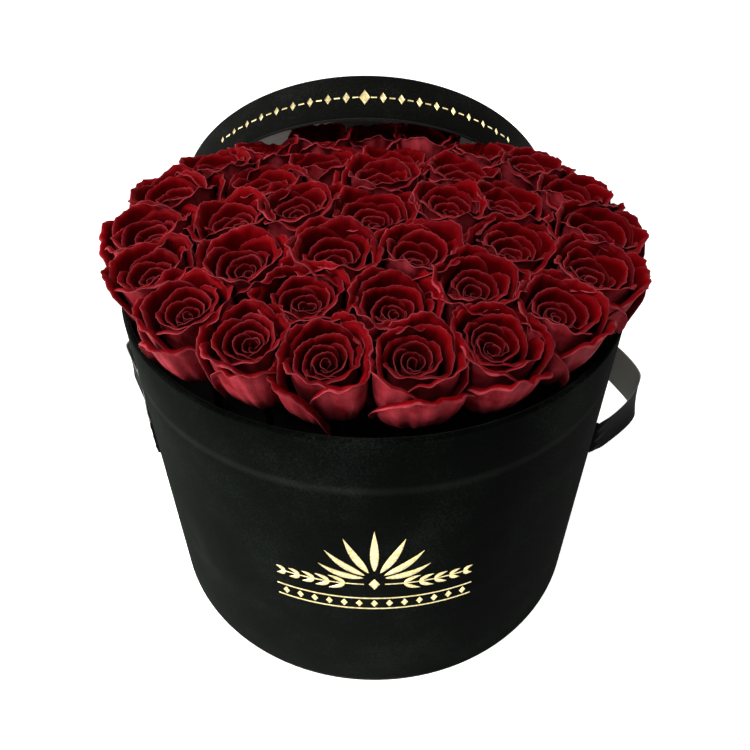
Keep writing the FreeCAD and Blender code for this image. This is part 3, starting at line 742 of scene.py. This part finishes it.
def folded_route(stand, back):
    """Plan of the left loop: a front run that first keeps near the wall, and a straight rear run, which meet
    in a fold behind the middle. The bends are rounded by averaging the line with a bell-shaped weight."""
    tip = np.array([BOX_RADIUS + stand, back])
    root = np.array([SLIT_ROOT - FLUSH, -SLIT_ACROSS])
    bend = (root + tip) / 2 - np.array([FRONT_HUG, 0])
    ends = np.array([root, bend, tip, [SLIT_ROOT, SLIT_ACROSS]])
    runs = np.concatenate([[0], np.cumsum(np.linalg.norm(np.diff(ends, axis=0), axis=1))])
    along = np.linspace(0, runs[-1], ROUTE_POINTS)
    line = np.stack([np.interp(along, runs, ends[:, 0]), np.interp(along, runs, ends[:, 1])], -1)
    weight = np.exp(-(np.arange(-FOLD_SPAN, FOLD_SPAN + 1) / FOLD_ROUND) ** 2)
    weight /= weight.sum()
    ahead = 2 * line[0] - line[FOLD_SPAN:0:-1]
    after = 2 * line[-1] - line[-2:-FOLD_SPAN - 2:-1]
    padded = np.concatenate([ahead, line, after])
    return np.stack([np.convolve(padded[:, k], weight, mode="valid") for k in (0, 1)], -1)


def add_ribbon(name, side, route, twist, material):
    """A satin loop that follows a route in plan, with a short straight run into the wall at both ends. It
    sags and curls a little, gathers slightly where it enters the slits, and its lower edge is twisted forward
    midway."""
    inward = np.array([[STUB, 0.0]])
    route = np.concatenate([route[:1] - inward, route, route[-1:] - inward])
    steps = np.concatenate([[0], np.cumsum(np.linalg.norm(np.diff(route, axis=0), axis=1))])
    length = steps[-1]
    s = np.linspace(0, length, RIBBON_STEPS)
    plan = np.stack([np.interp(s, steps, route[:, k]) for k in (0, 1)], -1)
    ahead = np.gradient(plan, axis=0)
    ahead /= np.linalg.norm(ahead, axis=1, keepdims=True)
    out = np.stack([ahead[:, 1], -ahead[:, 0]], -1)
    s = s[:, None]
    t = np.linspace(-1, 1, RIBBON_STRANDS)[None, :]
    near = 1 - smooth((np.minimum(s, length - s) - STUB) / GATHER)
    wide = RIBBON_WIDTH / 2 * (1 - (1 - NECK) * near)
    curl = END_CURL * near * np.cos(3 * np.pi * t) + LOOP_CURL * (1 - near) * (t ** 2 - 0.4)
    sag = SAG * np.sin(np.pi * s / length)
    across = plan[:, None, :] + curl[..., None] * out[:, None, :]
    turned = twist * t * np.sin(np.pi * s / length) ** 4
    middle_face = np.stack([side * across[..., 0], across[..., 1] + turned, RIBBON_HIGH + wide * t - sag], -1)
    normal = np.cross(np.gradient(middle_face, axis=0), np.gradient(middle_face, axis=1))
    normal /= np.linalg.norm(normal, axis=-1, keepdims=True)
    front = middle_face + normal * RIBBON_THICK / 2
    back = middle_face - normal * RIBBON_THICK / 2
    points, faces = sheet_mesh(front[None], back[None])
    flat = np.stack([RIBBON_WIDTH / 2 * t + 0 * s, s + 0 * t], -1)
    uv = np.stack([flat, flat]).reshape(-1, 2)
    # The inner face gets the paler colour, a painted reflected light.
    inner = np.stack([0 * (s + t), 1 + 0 * (s + t)])[::side].ravel()
    piece = add_piece("satin_" + name, points, faces, material, None, ("cut", uv), {"inner": inner})
    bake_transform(piece)
    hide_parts("ribbon_handle_" + name)


# Gold foil ornament, drawn in mm: its thickness each way, its heights and scale, and its thinnest points
FOIL = 0.12 * MM
BOX_FOIL_HEIGHT = 108 * MM
LID_FOIL_HEIGHT = 17 * MM
BOX_FOIL_SCALE = 1.1
THREAD = 0.03


def foil_bands(paths, proud):
    """Closed thin bands that lie on a turned wall of radius proud. Each path is a (points, half widths)
    pair in the flat, along the wall and up it. Points along the wall go to (r sin(s / r), -r cos(s / r))."""
    fronts, backs = [], []
    for line, half in paths:
        line = np.asarray(line, dtype=float)
        step = np.gradient(line, axis=0)
        step /= np.linalg.norm(step, axis=1, keepdims=True)
        side = np.stack([-step[:, 1], step[:, 0]], -1) * np.asarray(half)[:, None]
        flat = np.stack([line - side, line, line + side], 1)
        for radius, kept in ((proud + FOIL, fronts), (proud - FOIL, backs)):
            turn = flat[..., 0] / proud
            kept.append(np.stack([radius * np.sin(turn), -radius * np.cos(turn), flat[..., 1]], -1))
    return np.stack(fronts), np.stack(backs)


POINTS_ALONG = 33
ALONG = np.linspace(0, 1, POINTS_ALONG)[:, None]


def straight(start, end, half):
    """A straight band of even width."""
    line = np.asarray(start) + (np.asarray(end) - np.asarray(start)) * ALONG
    return line * MM, np.full(POINTS_ALONG, half * MM)


def leaf(start, end, half, bend=0.0):
    """A leaf from start to end, widest two fifths of the way along, bent sideways by the given amount."""
    start = np.asarray(start, dtype=float)
    along = np.asarray(end, dtype=float) - start
    across = np.array([-along[1], along[0]]) / np.linalg.norm(along)
    line = start + along * ALONG + across * bend * np.sin(np.pi * ALONG)
    wide = np.sin(np.pi * ALONG[:, 0] ** 0.75)
    return line * MM, np.maximum(half * wide, THREAD) * MM


def lozenge(middle, wide, high):
    """A filled upright lozenge."""
    line = np.asarray(middle) + np.array([0.0, high]) * (2 * ALONG - 1)
    return line * MM, np.maximum(wide * (1 - np.abs(2 * ALONG[:, 0] - 1)), THREAD) * MM


def mirrored(path):
    """The same band on the other side of the middle line."""
    line, half = path
    return line * np.array([-1.0, 1.0]), half


def box_ornament():
    """A sheaf of seven slim leaves over a tied point, between two level sprigs that thin outwards, over a
    long double rule with a row of lozenges."""
    paths = []
    for lean in (0, 24, 47, 68):
        turn = np.radians(lean)
        reach = 38 - 0.14 * lean
        tip = np.array([reach * np.sin(turn), reach * np.cos(turn)])
        blade = leaf(tip * 0.2, tip, 2.0, -0.03 * lean)
        paths += [blade] if lean == 0 else [blade, mirrored(blade)]
    for step in range(5):
        root = np.array([14.0 + 7.5 * step, -3.0])
        size = 8.0 - 0.9 * step
        for blade in (leaf(root, root + np.array([size, 0.62 * size]), 1.25, 0.8),
                      leaf(root, root + np.array([size, -0.62 * size]), 1.25, -0.8)):
            paths += [blade, mirrored(blade)]
    twig = straight((5.0, -3.0), (46.0, -3.0), 0.35)
    paths += [twig, mirrored(twig), lozenge((0, -3.0), 2.6, 4.4)]
    for low in (-15.0, -24.0):
        rule = straight((0.0, low), (49.0, low), 0.45)
        paths += [rule, mirrored(rule)]
    for step in range(-6, 7):
        paths.append(lozenge((7.4 * step, -19.5), 1.7, 2.9))
    return paths


def lid_ornament():
    """A row of lozenges and short rules that dwindles to both sides."""
    paths = [lozenge((0, 0), 3.4, 6.2)]
    for step in range(1, 10):
        shrink = 1 - 0.05 * step
        gem = lozenge((11.5 * step, 0), 2.3 * shrink, 4.6 * shrink)
        dash = straight((11.5 * step - 7.6, 0), (11.5 * step - 3.9, 0), 0.55)
        paths += [gem, mirrored(gem), dash, mirrored(dash)]
    return paths


def add_foil(material):
    """The foil on the box's front and on the lid's upper band, where that faces the front."""
    larger = [(line * BOX_FOIL_SCALE, half * BOX_FOIL_SCALE) for line, half in box_ornament()]
    front, back = foil_bands(larger, BOX_RADIUS)
    lift = np.array([0, 0, BOX_FOIL_HEIGHT])
    points, faces = sheet_mesh(front + lift, back + lift)
    add_piece("foil_box", points, faces, material, "box")
    front, back = foil_bands(lid_ornament(), LID_RADIUS)
    lift = np.array([0, 0, LID_FOIL_HEIGHT])
    points, faces = sheet_mesh(front + lift, back + lift)
    add_piece("foil_lid", on_lid(points), faces, material, "lid")


# Set, light and camera
FLOOR_REACH = 6.0
FLOOR_GLOW = 0.8
SKY_LIGHT = 0.20
# the photograph's viewpoint in metres, tilt up from straight down, lens in mm, and shift of the frame
CAMERA_PLACE = (0, -0.3536, 0.4371)
CAMERA_TILT = np.radians(49.1)
SENSOR = 36.0
FOCAL_LENGTH = 34.9
FRAME_SHIFT = (0.0008, -0.0057)
# each soft box: place, the point it faces, size in metres, and watts
LIGHTS = {
    "key_top": ((-0.45, -0.4, 1.45), (0, 0, 0.15), 0.9, 17.0),
    "low_left": ((-1.15, -0.4, 0.3), (0, 0, 0.12), 0.6, 19.0),
    "rear_right": ((1.0, 1.2, 0.9), (0, 0, 0.12), 0.8, 6.0),
}


def seen_plainly(tree):
    """1 for rays from the camera and for those that mirror or pass through on their way from it, else 0."""
    path = add(tree, "ShaderNodeLightPath").outputs
    mirrored_too = add(tree, "ShaderNodeMath", {0: path["Is Camera Ray"], 1: path["Is Glossy Ray"]},
                       operation="MAXIMUM")
    return add(tree, "ShaderNodeMath", {0: mirrored_too.outputs[0], 1: path["Is Transmission Ray"]},
               operation="MAXIMUM").outputs[0]


def add_stage():
    """A pale floor that stays white to the camera and still takes the object's shadow, and a white world."""
    made, tree, shader = new_material("studio_paper")
    place = add(tree, "ShaderNodeTexCoord").outputs["Object"]
    grain = add(tree, "ShaderNodeTexNoise", {"Vector": place}, {"Scale": 1 / (8 * MM), "Detail": 2.0})
    tone = add(tree, "ShaderNodeValToRGB", {"Fac": grain.outputs["Fac"]},
               stops=((0.3, "#f4f4f3"), (0.7, "#fafaf9"))).outputs["Color"]
    glow = add(tree, "ShaderNodeMath", {0: seen_plainly(tree)}, {1: FLOOR_GLOW}, operation="MULTIPLY")
    put(tree, shader, {"Roughness": 0.9, "Emission Color": (1, 1, 1, 1)},
        Base_Color=tone, Emission_Strength=glow.outputs[0])
    mesh = bpy.data.meshes.new("floor")
    corners = [(x * FLOOR_REACH, y * FLOOR_REACH, 0) for x, y in ((-1, -1), (1, -1), (1, 1), (-1, 1))]
    mesh.from_pydata(corners, [], [(0, 1, 2, 3)])
    mesh.materials.append(made)
    floor = bpy.data.objects.new("floor", mesh)
    bpy.context.scene.collection.objects.link(floor)
    world = bpy.data.worlds.new("studio")
    bpy.context.scene.world = world
    world.use_nodes = True
    tree = world.node_tree
    tree.nodes.clear()
    level = add(tree, "ShaderNodeMapRange", {0: seen_plainly(tree)}, {3: SKY_LIGHT, 4: 1.0})
    sky = add(tree, "ShaderNodeBackground", {"Strength": level.outputs[0]}, {"Color": (1, 1, 1, 1)})
    add(tree, "ShaderNodeOutputWorld", {"Surface": sky.outputs[0]})


def add_light(name, place, target, size, power):
    """A square soft box that faces its target."""
    lamp = bpy.data.lights.new(name, "AREA")
    lamp.size = size
    lamp.energy = power
    lit = bpy.data.objects.new(name, lamp)
    aim = np.asarray(target) - np.asarray(place)
    flat = np.hypot(aim[0], aim[1])
    lit.location = place
    lit.rotation_euler = (np.arctan2(flat, -aim[2]), 0, np.arctan2(-aim[0], aim[1]))
    bpy.context.scene.collection.objects.link(lit)


def add_camera():
    """The photograph's viewpoint: 41 degrees down on the front of the box, with a slightly wide lens."""
    lens = bpy.data.cameras.new("viewpoint")
    lens.sensor_width = SENSOR
    lens.lens = FOCAL_LENGTH
    lens.shift_x, lens.shift_y = FRAME_SHIFT
    viewer = bpy.data.objects.new("viewpoint", lens)
    viewer.location = CAMERA_PLACE
    viewer.rotation_euler = (CAMERA_TILT, 0, 0)
    bpy.context.scene.collection.objects.link(viewer)
    bpy.context.scene.camera = viewer


# Finishes and pieces
LID_EDGE_SAT = BOX_HEIGHT - 33 * MM
VELVET_BOX = velvet("black_velvet_box", ("#020302", "#060907", "#181c19"), LID_EDGE_SAT)
# The lid's copy of the same velvet is painted paler, as painted sheen where its upturned faces catch more
# light.
VELVET_LID_PAINTED_PALER = velvet("black_velvet_lid_painted_paler", ("#0a0a09", "#10100f", "#242523"))
SATIN = satin("black_satin")
PETAL = rose_petals("preserved_rose_petal")
GOLD = gold_foil("stamped_gold_foil")
GREY_BOARD = fibrous("grey_board", "#5d5a54", "#827d74", 3 * MM, 0.85)
CARRIED = {
    "box_wall": GREY_BOARD,
    "box_base": GREY_BOARD,
    "base_cover": fibrous("black_cover_paper", "#0c0c0c", "#1b1b1b", 2 * MM, 0.7),
    "floral_foam": fibrous("floral_foam", "#040704", "#0b110c", 1.5 * MM, 0.95),
    "lid_top": GREY_BOARD,
    "lid_rim": fibrous("black_lining_paper", "#0c0c0c", "#1b1b1b", 2 * MM, 0.75),
    "lid_lining": fibrous("pale_lining_paper", "#aeaca6", "#c6c4be", 2.5 * MM, 0.8),
    "ribbon_knots_left": SATIN,
    "ribbon_knots_right": SATIN,
}
for node, finish in CARRIED.items():
    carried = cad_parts[node]
    carried.data.materials.clear()
    carried.data.materials.append(finish)

ROSES = rose_places()
for number, head in enumerate(ROSES):
    add_rose(head, ROSES, number, PETAL)
add_box_skin(VELVET_BOX)
add_lid_skin(VELVET_LID_PAINTED_PALER)
add_ribbon("left", -1, folded_route(LEFT_STAND, LEFT_BACK), 0.0, SATIN)
add_ribbon("right", 1, bowed_route(RIGHT_STAND), RIGHT_TWIST, SATIN)
add_foil(GOLD)
add_stage()
for lamp_name, setting in LIGHTS.items():
    add_light(lamp_name, *setting)
add_camera()
bpy.context.scene.view_settings.view_transform = "Standard"
